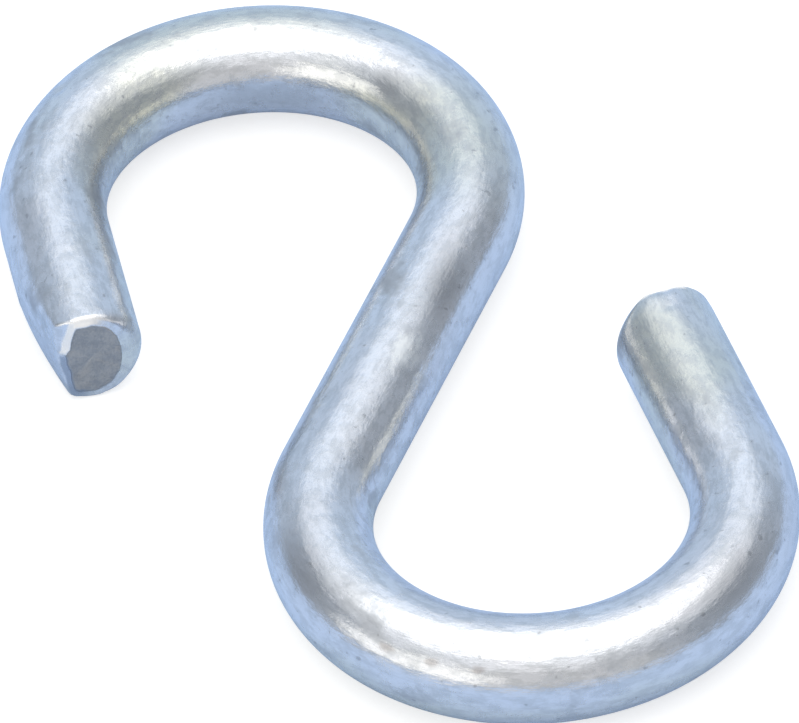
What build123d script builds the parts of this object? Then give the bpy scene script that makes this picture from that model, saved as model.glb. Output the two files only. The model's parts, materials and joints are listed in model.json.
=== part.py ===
from build123d import *
import os
from math import atan2, degrees, hypot

# An S hook: one length of round steel wire, bent both ways into two open eyes that face
# opposite sides and are joined by a straight shank slanting between them.
# It lies flat. +X runs through both eye centres, +Z is up, and the origin is the middle of
# its footprint. Lengths are in millimetres and angles in degrees.

# Driving dimensions
wire_diameter = 6.35  # 1/4 inch wire
eye_diameter = 18.25  # inside of both eyes, which are bent on the same former
shank_length = 20.6  # straight wire between the two bends

# Each end was sheared off. On the eye's side the blade rolled the edge over, and on the
# outer side the support pressed a flat that runs out along the leg.
left_end = {
    "bend_angle": 212.3,  # how far the wire turns round this eye
    "leg_length": 10.85,  # straight wire from the bend to the cut face
    "roll_radius": 1.1,
    "press_length": 6.1,
    "press_depth": 1.25,  # taken off the outer side at the cut face
}
right_end = {
    "bend_angle": 219.4,
    "leg_length": 12.6,
    "roll_radius": 1.6,
    "press_length": 0.8,
    "press_depth": 0.45,
}

# Sizes that follow
wire_radius = wire_diameter / 2
bend_radius = (eye_diameter + wire_diameter) / 2
shank_slant = degrees(atan2(bend_radius, shank_length / 2))
eye_offset = hypot(bend_radius, shank_length / 2)

# The cutters stand clear of the wire, and cross its side instead of just touching it.
cutter_margin = wire_radius / 2
crossing = 0.03


def straight_wire(length):
    """Wire along local +X from the origin."""
    section = Plane.YZ * Circle(wire_radius)
    return extrude(section, length, dir=(1, 0, 0))


def bent_wire(angle):
    """Wire that starts along local +X and turns left round (0, bend_radius)."""
    section = Plane.YZ * Circle(wire_radius)
    centre = Axis((0, bend_radius, 0), (0, 0, 1))
    return revolve(section, centre, angle)


def sheared_leg(end):
    """Straight wire that ends at the sheared face, with its eye on the +Y side."""
    face = end["leg_length"]
    reach = wire_radius + cutter_margin
    side = wire_radius + crossing
    roll_top = wire_radius - end["roll_radius"]
    press_bottom = end["press_depth"] - wire_radius
    roll_start = (face - end["roll_radius"], side)
    press_start = (face - end["press_length"], -side)
    outline = Polyline(
        (face, roll_top),
        (face, press_bottom),
        press_start,
        (press_start[0], -reach),
        (-reach, -reach),
        (-reach, reach),
        (roll_start[0], reach),
        roll_start,
    )
    # The bulge of a quarter circle, a little flattened so that it crosses the wire's side
    bulge = RadiusArc(roll_start, (face, roll_top), end["roll_radius"] * 1.15)
    profile = make_face(outline.edges() + bulge.edges())
    keep = extrude(profile, reach, both=True)
    return straight_wire(face) & keep


def half_hook(end):
    """Half of the shank, one bend and its leg. The shank's middle is the origin."""
    bend_start = Pos(shank_length / 2, 0, 0)
    bend_end = bend_start * Pos(0, bend_radius, 0) * Rot(0, 0, end["bend_angle"]) * Pos(0, -bend_radius, 0)
    bend = bend_start * bent_wire(end["bend_angle"])
    leg = bend_end * sheared_leg(end)
    return bend + leg


def s_hook():
    shank = Pos(-shank_length / 2, 0, 0) * straight_wire(shank_length)
    right = half_hook(right_end)
    left = Rot(0, 0, 180) * half_hook(left_end)
    hook = Rot(0, 0, -shank_slant) * (shank + right + left)
    box = hook.bounding_box()
    return Pos(-box.center().X, -box.center().Y, -box.min.Z) * hook


hook = s_hook()
hook.label = "s_hook"
os.makedirs("parts", exist_ok=True)
export_step(hook, "parts/s_hook.step")

print("overall", hook.bounding_box().size)
print("eye centres", 2 * eye_offset, "apart, shank slant", shank_slant)
print("volume", hook.volume, "solids", len(hook.solids()))
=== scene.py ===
import json
import math

import bpy
from mathutils import Matrix, Vector, noise


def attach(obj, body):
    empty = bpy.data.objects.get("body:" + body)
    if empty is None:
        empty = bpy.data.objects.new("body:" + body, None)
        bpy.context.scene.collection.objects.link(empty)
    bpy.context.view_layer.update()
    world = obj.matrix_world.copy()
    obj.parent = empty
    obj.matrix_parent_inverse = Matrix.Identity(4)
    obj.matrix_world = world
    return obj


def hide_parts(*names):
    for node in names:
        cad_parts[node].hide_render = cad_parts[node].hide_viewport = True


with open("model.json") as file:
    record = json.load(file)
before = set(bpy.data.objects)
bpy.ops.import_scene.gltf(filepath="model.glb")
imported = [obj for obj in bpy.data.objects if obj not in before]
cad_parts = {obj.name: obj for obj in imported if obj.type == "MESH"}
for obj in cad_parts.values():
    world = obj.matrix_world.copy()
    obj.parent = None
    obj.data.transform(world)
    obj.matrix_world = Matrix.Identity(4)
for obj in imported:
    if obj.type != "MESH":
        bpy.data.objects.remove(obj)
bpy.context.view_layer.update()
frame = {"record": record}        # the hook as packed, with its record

# A bent wire S hook in bright zinc plate, lying on a pale floor. Metres throughout,
# in the CAD model's own frame: +X through both eyes, +Z up.

mm = 0.001
um = 0.000001
mounts = {mount["name"]: mount for mount in frame["record"]["mounts"]}
wireRadius = mounts["right_leg"]["dims"]["r_mm"] * mm
bendRadius = mounts["left_eye"]["dims"]["r_mm"] * mm + wireRadius
leftEye = Vector(mounts["left_eye"]["pos_m"])
rightEye = Vector(mounts["right_eye"]["pos_m"])
hookMiddle = (leftEye + rightEye) / 2


# ---- the wire's line, from the left cut end to the right one ----

def legLine(name):
    # where the leg leaves its bend, and where it is cut off
    mount = mounts[name]
    middle = Vector(mount["pos_m"])
    half = Vector(mount["axis"]) * mount["dims"]["length_mm"] * mm / 2
    return middle - half, middle + half


def turnBetween(centre, first, last, direction):
    # how far round the centre from first to last; direction 1 is anticlockwise seen from above
    startAngle = math.atan2(first.y - centre.y, first.x - centre.x)
    endAngle = math.atan2(last.y - centre.y, last.x - centre.x)
    return direction * ((endAngle - startAngle) * direction % math.tau)


eyeDistance = (rightEye - leftEye).length / 2
halfShank = math.sqrt(eyeDistance ** 2 - bendRadius ** 2)
shankSlant = math.atan2(bendRadius, halfShank)
shankHeading = Vector((math.cos(shankSlant), -math.sin(shankSlant), 0))
shankStart = hookMiddle - shankHeading * halfShank
shankEnd = hookMiddle + shankHeading * halfShank
leftBendStart, leftCut = legLine("left_leg")
rightBendEnd, rightCut = legLine("right_leg")
leftTurn = turnBetween(leftEye, leftBendStart, shankStart, -1)
rightTurn = turnBetween(rightEye, shankEnd, rightBendEnd, 1)
leftLeg = (leftCut - leftBendStart).length
rightLeg = (rightCut - rightBendEnd).length
wireLength = leftLeg + rightLeg + 2 * halfShank + (abs(leftTurn) + rightTurn) * bendRadius
leftBendLength = abs(leftTurn) * bendRadius
rightBendLength = rightTurn * bendRadius
stretches = {
    # where each starts, along the wire from the left cut, and its length
    "leftBend": (leftLeg, leftBendLength),
    "shank": (leftLeg + leftBendLength, 2 * halfShank),
    "rightBend": (wireLength - rightLeg - rightBendLength, rightBendLength),
}


def bendPoints(centre, first, turn, pieces):
    # points round a bend, each with its two handles
    step = turn / pieces
    reach = 4 / 3 * math.tan(step / 4)
    points = []
    for number in range(pieces + 1):
        arm = Matrix.Rotation(step * number, 3, "Z") @ (first - centre)
        ahead = Vector((-arm.y, arm.x, 0)) * reach
        points.append([centre + arm - ahead, centre + arm, centre + arm + ahead])
    return points


def makeWireLine():
    pieces = 8
    leftBend = bendPoints(leftEye, leftBendStart, leftTurn, pieces)
    rightBend = bendPoints(rightEye, shankEnd, rightTurn, pieces)
    points = [[leftCut] * 3] + leftBend + rightBend + [[rightCut] * 3]
    for before, after in ((points[0], leftBend[0]), (leftBend[-1], rightBend[0]), (rightBend[-1], points[-1])):
        before[2] = before[1].lerp(after[1], 1 / 3)   # straight stretches
        after[0] = after[1].lerp(before[1], 1 / 3)
    data = bpy.data.curves.new("wireLine", "CURVE")
    data.dimensions = "2D"
    data.resolution_u = 64
    spline = data.splines.new("BEZIER")
    spline.bezier_points.add(len(points) - 1)
    for point, (back, place, ahead) in zip(spline.bezier_points, points):
        point.co = (place.x, place.y, 0)
        point.handle_left = (back.x, back.y, 0)
        point.handle_right = (ahead.x, ahead.y, 0)
    line = bpy.data.objects.new("wireLine", data)
    bpy.context.collection.objects.link(line)
    return line


# ---- the wire, made straight along X, shaped at its ends, then bent ----

wire = {
    "sides": 112,
    "ringSpacing": 0.25 * mm,
    "endSteps": 26,             # finer rings towards each cut
    "firstStep": 0.02 * mm,
    "stepGrowth": 1.12,
    "faceInsets": [0.07 * mm, 0.07 * mm, 0.08 * mm, 0.08 * mm] + [0.15 * mm] * 17,
}


def deselectAll():
    if bpy.context.object and bpy.context.object.mode == "EDIT":
        bpy.ops.mesh.select_all(action="DESELECT")
    else:
        bpy.ops.object.select_all(action="DESELECT")


def editFaces(piece, test):
    # into edit mode with only the faces that pass the test selected
    bpy.ops.object.mode_set(mode="EDIT")
    bpy.ops.mesh.select_mode(type="FACE")
    deselectAll()
    bpy.ops.object.mode_set(mode="OBJECT")
    for face in piece.data.polygons:
        face.select = test(face)
    bpy.ops.object.mode_set(mode="EDIT")


def makeStraightWire():
    deselectAll()
    bpy.ops.mesh.primitive_circle_add(
        vertices=wire["sides"], radius=wireRadius, fill_type="NGON", rotation=(0, math.pi / 2, 0))
    piece = bpy.context.object
    piece.name = "hookWire"
    bpy.ops.object.transform_apply(location=True, rotation=True, scale=True)
    endSteps = [wire["firstStep"] * wire["stepGrowth"] ** number for number in range(wire["endSteps"])]
    long = wireLength - 2 * sum(endSteps)
    bpy.ops.object.mode_set(mode="EDIT")
    bpy.ops.mesh.select_mode(type="FACE")
    bpy.ops.mesh.select_all(action="SELECT")
    for step in endSteps + [long] + endSteps[::-1]:
        bpy.ops.mesh.extrude_region_move(TRANSFORM_OT_translate={"value": (step, 0, 0)})
    bpy.ops.object.mode_set(mode="OBJECT")
    for edge in piece.data.edges:
        first, last = (piece.data.vertices[index].co.x for index in edge.vertices)
        edge.select = abs(last - first) > long / 2
    bpy.ops.object.mode_set(mode="EDIT")
    bpy.ops.mesh.select_mode(type="EDGE")
    bpy.ops.mesh.subdivide_edgering(number_cuts=round(long / wire["ringSpacing"]) - 1, interpolation="LINEAR")
    for cutEnd in (0, wireLength):
        editFaces(piece, lambda face: len(face.vertices) > 4 and abs(face.center.x - cutEnd) < mm)
        for thickness in wire["faceInsets"]:
            bpy.ops.mesh.inset(thickness=thickness)
    bpy.ops.object.mode_set(mode="OBJECT")
    return piece


# ---- the sheared ends ----

shearedEnds = {
    # shares are of the wire's radius, lengths run in from the cut
    "left": {
        "pressLength": 6.1 * mm,   # the outer side slopes in towards the cut
        "pressShare": 0.40,
        "pressLean": 0.19,         # and more so lower down
        "shoulderLean": 0.36,      # the upper outer edge leans in, down to a notch
        "shoulderLength": 0.6 * mm,
        "notchHeight": 0.26,
        "notchDepth": 0.035,
        "topLength": 0.5 * mm,     # the top is flattened
        "topShare": 0.0,
        "rollLength": 1.1 * mm,    # the eye side rolls over
        "rollShare": 0.34,
        "rimRound": 0.34 * mm,
        "lipHeight": 0.13 * mm,    # raised burr over the top, its rim painted near-white as a highlight
        "lipWidth": 0.2 * mm,
        "lipFrom": 22,             # degrees round from the outer side
        "lipTo": 125,
    },
    "right": {
        "pressLength": 0.8 * mm,
        "pressShare": 0.13,
        "pressLean": 0.0,
        "shoulderLean": 0.0,
        "shoulderLength": 1.0 * mm,
        "notchHeight": 0.2,
        "notchDepth": 0.0,
        "topLength": 1.1 * mm,
        "topShare": 0.15,
        "rollLength": 1.6 * mm,
        "rollShare": 0.5,
        "rimRound": 0.2 * mm,
        "lipHeight": 0.08 * mm,
        "lipWidth": 0.42 * mm,
        "lipFrom": 60,
        "lipTo": 150,
    },
}
faceStart = 0.93          # share of the face's radius inside which it is plain


def smooth(value, low, high):
    share = min(max((value - low) / (high - low), 0), 1)
    return share * share * (3 - 2 * share)


def lesser(first, second, blend=0.08):
    # the smaller of two values, with the corner between them rounded
    near = max(blend - abs(first - second), 0) / blend
    return min(first, second) - near * near * blend / 4


def arcDrop(inward, length):
    # 1 at the cut and 0 a length further in, on a quarter circle
    left = 1 - min(max(inward / length, 0), 1)
    return 1 - math.sqrt(1 - left * left)


def sectionRadius(end, outer, up, inward):
    # how far the section reaches in a direction, as a share of the wire's radius
    reach = 1.0
    if outer < 0:
        squeeze = 1 - end["rollShare"] * arcDrop(inward, end["rollLength"])
        reach = 1 / math.hypot(outer / squeeze, up)
    else:
        pressed = max(1 - inward / end["pressLength"], 0)
        flat = 1 - end["pressShare"] * pressed
        fade = 1 - smooth(inward, 0, end["shoulderLength"])
        step = smooth(up / max(outer, 0.01), end["notchHeight"] / flat - 0.09, end["notchHeight"] / flat + 0.09)
        lean = end["shoulderLean"] * fade * step
        flat += lean * end["notchHeight"] - end["notchDepth"] * fade * step
        lean += end["pressLean"] * pressed * (-1 if up < 0 else 0)
        reach = lesser(reach, flat / max(outer + lean * up, 0.01))
    if up > 0:
        top = 1 - end["topShare"] * arcDrop(inward, end["topLength"])
        reach = lesser(reach, top / max(up, 0.01), 0.04)
    return reach


def shapeEnd(piece, end, cutX, inwardSign, eyeSide):
    # inwardSign is the way from the cut into the wire, eyeSide the side of Y that the eye is on
    zone = max(end["pressLength"], end["rollLength"], 2 * mm)
    seed = cutX * 50
    burrHighlight = piece.data.attributes["burrHighlight"]
    ledgeShade = piece.data.attributes["ledgeShade"]
    for vertex in piece.data.vertices:
        inward = (vertex.co.x - cutX) * inwardSign
        share = math.hypot(vertex.co.y, vertex.co.z) / wireRadius
        if inward > zone or share < 0.0001:
            continue
        outer = -vertex.co.y * eyeSide / wireRadius / share
        up = vertex.co.z / wireRadius / share
        around = math.degrees(math.atan2(up, outer))
        rag = noise.noise(Vector((outer * 4, up * 4, seed + 7)))
        fine = noise.noise(Vector((outer * 11, up * 11, seed + 2)))
        rim = end["rimRound"] * (1 - 0.6 * smooth(-outer, 0.2, 0.8)) * (1 + 0.3 * rag + 0.15 * fine)
        reach = sectionRadius(end, outer, up, inward) - arcDrop(inward, rim) * rim / wireRadius
        window = smooth(around, end["lipFrom"] - 4, end["lipFrom"] + 4)
        window *= 1 - smooth(around, end["lipTo"] - 40, end["lipTo"])
        width = end["lipWidth"] * (1 + 0.5 * rag + 0.3 * fine)
        # this mask carries a painted highlight: the burr's rim is coloured near-white and barely metallic
        burrHighlight.data[vertex.index].value = window * (1 - smooth(inward, 0.55 * width, width))
        # painted shade: a dark blue band along the lower outer edge next to the cut
        lower = smooth(around, -95, -70) * (1 - smooth(around, end["lipFrom"] - 10, end["lipFrom"] - 2))
        ledgeShade.data[vertex.index].value = lower * (1 - smooth(inward, 0.04 * mm, 0.16 * mm))
        if inward < 0.01 * mm:
            ledgeShade.data[vertex.index].value *= smooth(share, 0.84, 0.9)
            burrHighlight.data[vertex.index].value *= smooth(share, faceStart - 0.01, faceStart + 0.03)
            ridge = smooth(share, faceStart - 0.06, faceStart + 0.02) * (1 - 0.5 * smooth(share, 0.97, 1))
            inward -= end["lipHeight"] * window * ridge * (1 + 0.6 * rag)
            inward += 0.03 * mm * noise.noise(Vector((outer * share * 5, up * share * 5, seed + 3)))
            inward += 0.05 * mm * smooth(share, 0.85, 1) * (1 - window)
        vertex.co.x = cutX + inward * inwardSign
        vertex.co.y = -outer * share * reach * eyeSide * wireRadius
        vertex.co.z = up * share * reach * wireRadius


def markCutFaces(piece):
    # 1 on the sheared faces, 0 on the plated wire; also the masks of the painted highlight on the burr and the
    # painted shade on the lower outer edge
    piece.data.attributes.new("burrHighlight", "FLOAT", "POINT")
    piece.data.attributes.new("ledgeShade", "FLOAT", "POINT")
    bare = piece.data.attributes.new("bareSteel", "FLOAT", "POINT")
    for vertex, value in zip(piece.data.vertices, bare.data):
        fromCentre = math.hypot(vertex.co.y, vertex.co.z) / wireRadius
        onFace = min(vertex.co.x, wireLength - vertex.co.x) < 0.01 * mm
        value.value = (1 - smooth(fromCentre, faceStart - 0.03, faceStart + 0.01)) if onFace else 0.0


dents = [
    # stretch of the wire, share along it, degrees round it from +Y over the top, depth, size
    ("leftBend", 0.2, 60, 0.09 * mm, 0.7 * mm),
    ("shank", 0.1, 0, 0.10 * mm, 0.6 * mm),
    ("leftBend", 0.6, 180, 0.09 * mm, 0.5 * mm),
    ("shank", 0.85, 120, 0.06 * mm, 1.2 * mm),
    ("rightBend", 0.65, -30, 0.08 * mm, 0.8 * mm),
    ("leftBend", 0.4, -60, 0.08 * mm, 0.9 * mm),
]


def placeOnWire(stretch, share, around):
    start, length = stretches[stretch]
    side = math.radians(around)
    return Vector((start + share * length, math.cos(side) * wireRadius, math.sin(side) * wireRadius))


def makeDents(piece):
    for stretch, share, around, depth, size in dents:
        place = placeOnWire(stretch, share, around)
        nearest = min(piece.data.vertices, key=lambda vertex: (vertex.co - place).length_squared).index
        bpy.ops.object.mode_set(mode="EDIT")
        bpy.ops.mesh.select_mode(type="VERT")
        deselectAll()
        bpy.ops.object.mode_set(mode="OBJECT")
        piece.data.vertices[nearest].select = True
        inwards = Vector((0, -place.y, -place.z)).normalized() * depth
        bpy.ops.object.mode_set(mode="EDIT")
        bpy.ops.transform.translate(
            value=inwards, use_proportional_edit=True,
            proportional_edit_falloff="SMOOTH", proportional_size=size)
        bpy.ops.object.mode_set(mode="OBJECT")


def rememberStraight(piece):
    # the place on the straight wire, which the draw lines and the plating follow round the bends
    straight = piece.data.attributes.new("straightPlace", "FLOAT_VECTOR", "POINT")
    for vertex, value in zip(piece.data.vertices, straight.data):
        value.vector = vertex.co


def bendWire(piece, line):
    bend = piece.modifiers.new("bend", "CURVE")
    bend.object = line
    bend.deform_axis = "POS_X"
    bpy.ops.object.modifier_apply(modifier="bend")
    bpy.data.objects.remove(line)
    deselectAll()
    piece.select_set(True)
    bpy.ops.object.mode_set(mode="EDIT")
    bpy.ops.mesh.select_all(action="SELECT")
    bpy.ops.transform.translate(value=(0, 0, wireRadius))
    bpy.ops.mesh.normals_make_consistent(inside=False)
    bpy.ops.object.mode_set(mode="OBJECT")
    bpy.ops.object.shade_smooth_by_angle(angle=math.radians(35))


print("making the wire")
hookWire = makeStraightWire()
markCutFaces(hookWire)
print("shaping the sheared ends")
shapeEnd(hookWire, shearedEnds["left"], 0, 1, -1)
shapeEnd(hookWire, shearedEnds["right"], wireLength, -1, 1)
rememberStraight(hookWire)
makeDents(hookWire)
print("bending it")
bendWire(hookWire, makeWireLine())
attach(hookWire, "root")
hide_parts("s_hook")


# ---- shader nodes as expressions ----

class Wired:
    # a node's output; arithmetic on it adds Math nodes
    def __init__(self, nodes, socket):
        self.nodes = nodes
        self.socket = socket

    def math(self, operation, first, second):
        return self.nodes.add("ShaderNodeMath", {"operation": operation}, {0: first, 1: second})

    def __add__(self, other):
        return self.math("ADD", self, other)

    def __radd__(self, other):
        return self.math("ADD", other, self)

    def __sub__(self, other):
        return self.math("SUBTRACT", self, other)

    def __rsub__(self, other):
        return self.math("SUBTRACT", other, self)

    def __mul__(self, other):
        return self.math("MULTIPLY", self, other)

    def __rmul__(self, other):
        return self.math("MULTIPLY", other, self)


class Nodes:
    def __init__(self, tree):
        self.tree = tree
        tree.nodes.clear()

    def add(self, kind, settings=None, values=None, output=0):
        node = self.tree.nodes.new(kind)
        for name, setting in (settings or {}).items():
            setattr(node, name, setting)
        for name, value in (values or {}).items():
            if isinstance(value, Wired):
                self.tree.links.new(value.socket, node.inputs[name])
            else:
                node.inputs[name].default_value = value
        return Wired(self, node.outputs[output]) if node.outputs else None

    def mixColour(self, factor, first, second, blend="MIX"):
        settings = {"data_type": "RGBA", "blend_type": blend}
        return self.add("ShaderNodeMix", settings, {0: factor, 6: first, 7: second}, 2)

    def noise(self, vector, perMetre, detail=2.0, roughness=0.5, distortion=0.0):
        values = {"Vector": vector, "Scale": perMetre, "Detail": detail,
                  "Roughness": roughness, "Distortion": distortion}
        return self.add("ShaderNodeTexNoise", None, values)

    def stretch(self, vector, scale):
        return self.add("ShaderNodeMapping", None, {"Vector": vector, "Scale": scale})

    def between(self, value, low, high):
        # 0 below low, 1 above high, smooth between
        settings = {"interpolation_type": "SMOOTHSTEP"}
        return self.add("ShaderNodeMapRange", settings, {"Value": value, "From Min": low, "From Max": high})


def newMaterial(name):
    material = bpy.data.materials.new(name)
    material.use_nodes = True
    return material, Nodes(material.node_tree)


# ---- zinc plate and bare steel ----

zinc = {
    "bright": (0.83, 0.83, 0.84, 1),
    "dull": (0.54, 0.55, 0.55, 1),
    "straw": (0.80, 0.785, 0.67, 1),
    "rosy": (0.76, 0.73, 0.72, 1),
    "soot": (0.40, 0.40, 0.40, 1),
    "worn": (0.98, 0.97, 0.93, 1),
    "brown": (0.36, 0.31, 0.28, 1),
    "edgeTint": (0.88, 0.94, 1.0, 1),
    "roughness": 0.23,
    "grainSize": 0.20 * mm,
    "peelSize": 0.55 * mm,
    "crystalSize": 1.0 * mm,
    "blotchSize": 3.2 * mm,
    "tintSize": 6.5 * mm,
    "lineSize": 0.15 * mm,
    "mottleSize": 0.55 * mm,
    "relief": 34 * um,
}
steel = {
    "bright": (0.53, 0.50, 0.46, 1),
    "dark": (0.38, 0.375, 0.37, 1),
    # the burr's painted highlight: a near-white colour, barely metallic
    "burrHighlight": (1.0, 0.95, 0.88, 1),
    "burrHighlightMetal": 0.1,
    # painted shade: dark blue where the lower outer edge of the cut faces the shaded floor
    "ledgeShade": (0.36, 0.40, 0.46, 1),
    "gritSize": 0.16 * mm,
    "tearSize": 0.8 * mm,
    "extraRoughness": 0.34,
}


marks = [
    # spots on the plating, placed as the dents are, then length, width, colour and strength
    ("shank", 0.3, 60, 3.4 * mm, 1.3 * mm, "soot", 0.6),
    ("shank", 0.6, 60, 1.9 * mm, 1.0 * mm, "worn", 0.9),
    ("rightBend", 0.2, 130, 3.2 * mm, 1.5 * mm, "soot", 0.4),
    ("rightBend", 0.75, 130, 3.4 * mm, 1.1 * mm, "soot", 0.36),
    ("leftBend", 0.7, 130, 1.7 * mm, 1.0 * mm, "soot", 0.45),
    ("leftBend", 0.5, 180, 8.0 * mm, 1.4 * mm, "soot", 0.6),
    ("rightBend", 0.35, 140, 0.6 * mm, 0.3 * mm, "brown", 0.5),
    ("rightBend", 0.4, 140, 0.4 * mm, 0.3 * mm, "brown", 0.45),
    ("rightBend", 0.45, 140, 0.5 * mm, 0.3 * mm, "brown", 0.5),
]


def addMark(nodes, colour, place, ragged, mark):
    stretch, share, around, length, width, name, strength = mark
    middle = placeOnWire(stretch, share, around)
    offset = nodes.add("ShaderNodeVectorMath", {"operation": "SUBTRACT"}, {0: place, 1: middle})
    scaled = nodes.stretch(offset, (1 / length, 1 / width, 1 / width))
    distance = nodes.add("ShaderNodeVectorMath", {"operation": "LENGTH"}, {0: scaled}, 1)
    spot = nodes.between(distance + (ragged - 0.5) * 2.4, 1.1, 0.25)
    return nodes.mixColour(spot * strength, colour, zinc[name])


def makeZincMaterial():
    material, nodes = newMaterial("zincPlate")
    place = nodes.add("ShaderNodeAttribute", {"attribute_name": "straightPlace"}, None, 1)
    bare = nodes.add("ShaderNodeAttribute", {"attribute_name": "bareSteel"}, None, 2)
    # mask of the painted highlight on the burr's rim
    burrHighlight = nodes.add("ShaderNodeAttribute", {"attribute_name": "burrHighlight"}, None, 2)
    # mask of the painted shade on the lower outer edge next to the cut
    ledgeShade = nodes.add("ShaderNodeAttribute", {"attribute_name": "ledgeShade"}, None, 2)
    along = nodes.stretch(place, (0.42, 1, 1))
    grain = nodes.noise(along, 1 / zinc["grainSize"], 3.0, 0.65)
    peel = nodes.noise(along, 1 / zinc["peelSize"], 2.0, 0.5)
    crystals = nodes.noise(place, 1 / zinc["crystalSize"], 5.0, 0.7)
    blotches = nodes.noise(along, 1 / zinc["blotchSize"], 3.0, 0.55, 0.4)
    mottle = nodes.noise(along, 1 / zinc["mottleSize"], 4.0, 0.7)
    tints = nodes.noise(along, 1 / zinc["tintSize"], 2.0)
    drawn = nodes.stretch(place, (0.02, 1, 1))
    lines = nodes.noise(drawn, 1 / zinc["lineSize"], 2.0, 0.6)

    # plating: straw and rosy tints, dull crystals, sooty blotches, specks, draw lines
    dull = nodes.between(crystals * 0.55 + blotches * 0.45, 0.47, 0.63)
    blotch = nodes.between(blotches * 0.8 + crystals * 0.2, 0.56, 0.72)
    speck = nodes.between(nodes.noise(place, 1 / (0.5 * mm), 2.0, 0.4), 0.70, 0.76)
    scratched = nodes.between(lines, 0.58, 0.75)
    colour = nodes.mixColour(nodes.between(tints, 0.50, 0.68) * 0.8, zinc["bright"], zinc["straw"])
    colour = nodes.mixColour(nodes.between(tints, 0.44, 0.32) * 0.6, colour, zinc["rosy"])
    colour = nodes.mixColour(nodes.between(mottle, 0.42, 0.62) * 0.45, colour, zinc["dull"])
    colour = nodes.mixColour(dull * 0.45, colour, zinc["dull"])
    colour = nodes.mixColour(blotch * 0.60 + speck * 0.55, colour, zinc["soot"])
    colour = nodes.mixColour(scratched * 0.18, colour, zinc["dull"])

    for mark in marks:
        colour = addMark(nodes, colour, place, mottle, mark)

    # the sheared faces are torn, bare steel
    grit = nodes.noise(place, 1 / steel["gritSize"], 4.0, 0.7)
    torn = nodes.noise(place, 1 / steel["tearSize"], 3.0, 0.6)
    bareColour = nodes.mixColour(nodes.between(grit * 0.5 + torn * 0.5, 0.36, 0.62), steel["dark"], steel["bright"])
    colour = nodes.mixColour(bare, colour, bareColour)
    # painted shade: the lower outer edge next to the cut darkened to blue-grey
    colour = nodes.mixColour(ledgeShade * 0.8, colour, steel["ledgeShade"])
    # painted highlight: the burr's rim turns near-white
    colour = nodes.mixColour(burrHighlight, colour, steel["burrHighlight"])
    roughness = zinc["roughness"] + dull * 0.10 + blotch * 0.12 + (grain - 0.5) * 0.10
    roughness = roughness + bare * steel["extraRoughness"]
    plating = grain * 0.32 + peel * 0.9 + crystals * 0.5 + lines * 0.16
    height = plating + bare * (grit * 1.3 + torn * 2.0)
    bump = nodes.add("ShaderNodeBump", None, {"Strength": 1.0, "Distance": zinc["relief"], "Height": height})
    shader = nodes.add("ShaderNodeBsdfPrincipled", None, {
        "Base Color": colour,
        # barely metallic on the burr, so its painted highlight shows as diffuse white
        "Metallic": 1 - burrHighlight * (1 - steel["burrHighlightMetal"]),
        "Roughness": roughness,
        "Specular Tint": zinc["edgeTint"],
        "Normal": bump,
    })
    nodes.add("ShaderNodeOutputMaterial", None, {"Surface": shader})
    return material


print("plating it")
hookWire.data.materials.clear()
hookWire.data.materials.append(makeZincMaterial())


# ---- floor, light and camera ----

studio = {
    "floorSize": 30,
    "floorBlue": (0.385, 0.54, 0.79, 1),
    "floorWhite": (0.60, 0.585, 0.56, 1),
    "floorLift": 0.63,                # lifts the lit floor to white where the camera sees it
    "backdropShare": 0.2,            # how much of that white the metal sees
    "roomColour": (0.345, 0.385, 0.445, 1),
    "roomNear": (0.66, 0.67, 0.69, 1),       # the side that the camera stands on
    "roomBright": (0.58, 0.72, 0.92, 1),   # the side of the room beyond the hook
}
softboxes = {
    # azimuth as for the camera, seen from the hook: 0 is towards +Y
    "overhead": {"azimuth": 63, "elevation": 90, "distance": 0.8, "width": 1.02, "height": 1.02,
                 "radiance": 0.95, "colour": (1, 1, 1)},
    "ceiling": {"azimuth": 63, "elevation": 90, "distance": 0.82, "width": 2.1, "height": 2.1,
                "radiance": 0.45, "colour": (1, 1, 1)},
    "side": {"azimuth": -168, "elevation": 20, "distance": 1.2, "width": 1.5, "height": 0.62,
             "radiance": 0.92, "colour": (1, 0.975, 0.91)},
}
camera = {
    "azimuth": 63.21,
    "elevation": 43.20,
    "roll": -3.73,
    "distance": 1.0039,
    "lens": 777.3,
    "aim": (0.24 * mm, -0.13 * mm, 3.01 * mm),
}


def lookDirection(azimuth, elevation):
    # azimuth 0 looks along +Y, and a higher elevation looks further down
    side = math.radians(azimuth)
    down = math.radians(elevation)
    return Vector((-math.sin(side) * math.cos(down), math.cos(side) * math.cos(down), -math.sin(down)))


def makeFloor():
    deselectAll()
    bpy.ops.mesh.primitive_plane_add(size=studio["floorSize"])
    floor = bpy.context.object
    floor.name = "floor"
    material, nodes = newMaterial("paleFloor")
    seenBy = nodes.tree.nodes.new("ShaderNodeLightPath")
    cameraRay = Wired(nodes, seenBy.outputs["Is Camera Ray"])
    glossyRay = Wired(nodes, seenBy.outputs["Is Glossy Ray"])
    throughRay = Wired(nodes, seenBy.outputs["Is Transmission Ray"])
    white = cameraRay + throughRay + glossyRay * studio["backdropShare"]
    colour = nodes.mixColour(white, studio["floorBlue"], studio["floorWhite"])
    diffuse = nodes.add("ShaderNodeBsdfDiffuse", None, {"Color": colour})
    lift = nodes.add("ShaderNodeEmission", None, {"Color": (1, 1, 1, 1), "Strength": white * studio["floorLift"]})
    both = nodes.add("ShaderNodeAddShader", None, {0: diffuse, 1: lift})
    nodes.add("ShaderNodeOutputMaterial", None, {"Surface": both})
    floor.data.materials.append(material)


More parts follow.
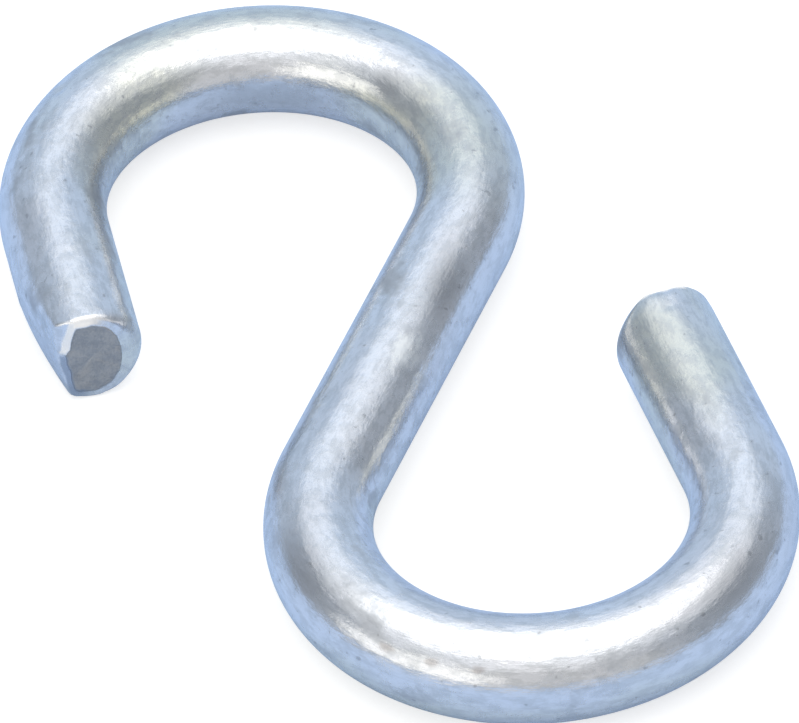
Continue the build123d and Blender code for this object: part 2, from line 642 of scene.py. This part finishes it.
def makeWorld():
    world = bpy.data.worlds.new("studio")
    bpy.context.scene.world = world
    world.use_nodes = True
    nodes = Nodes(world.node_tree)
    seenBy = nodes.tree.nodes.new("ShaderNodeLightPath")
    cameraRay = Wired(nodes, seenBy.outputs["Is Camera Ray"])
    direction = nodes.add("ShaderNodeTexCoord")
    away = lookDirection(camera["azimuth"], 0)
    facing = nodes.add("ShaderNodeVectorMath", {"operation": "DOT_PRODUCT"}, {0: direction, 1: away}, 1)
    room = nodes.mixColour(nodes.between(facing, 0.3, 1.0), studio["roomColour"], studio["roomBright"])
    room = nodes.mixColour(nodes.between(0 - facing, 0.35, 0.95), room, studio["roomNear"])
    colour = nodes.mixColour(cameraRay, room, (1, 1, 1, 1))
    background = nodes.add("ShaderNodeBackground", None, {"Color": colour, "Strength": 1.0})
    nodes.add("ShaderNodeOutputWorld", None, {"Surface": background})


def makeSoftboxes():
    for name, box in softboxes.items():
        toBox = lookDirection(box["azimuth"], -box["elevation"])
        deselectAll()
        bpy.ops.object.light_add(type="AREA", location=hookMiddle + toBox * box["distance"])
        light = bpy.context.object
        light.name = name + "Softbox"
        light.rotation_euler = toBox.to_track_quat("Z", "Y").to_euler()
        light.data.shape = "ELLIPSE"
        light.data.size = box["width"]
        light.data.size_y = box["height"]
        light.data.color = box["colour"]
        light.data.energy = box["radiance"] * math.pi * math.pi * box["width"] * box["height"] / 4
        light.visible_camera = False


def makeCamera():
    data = bpy.data.cameras.new("camera")
    data.lens = camera["lens"]
    data.sensor_width = 36
    data.clip_start = 0.01
    data.clip_end = 100
    forward = lookDirection(camera["azimuth"], camera["elevation"])
    eye = bpy.data.objects.new("camera", data)
    bpy.context.collection.objects.link(eye)
    upright = forward.to_track_quat("-Z", "Y").to_matrix()
    roll = Matrix.Rotation(math.radians(camera["roll"]), 3, "Z")
    eye.matrix_world = Matrix.Translation(Vector(camera["aim"]) - forward * camera["distance"]) @ (upright @ roll).to_4x4()
    bpy.context.scene.camera = eye


print("setting the studio")
makeFloor()
makeWorld()
makeSoftboxes()
makeCamera()
bpy.context.scene.view_settings.view_transform = "Standard"
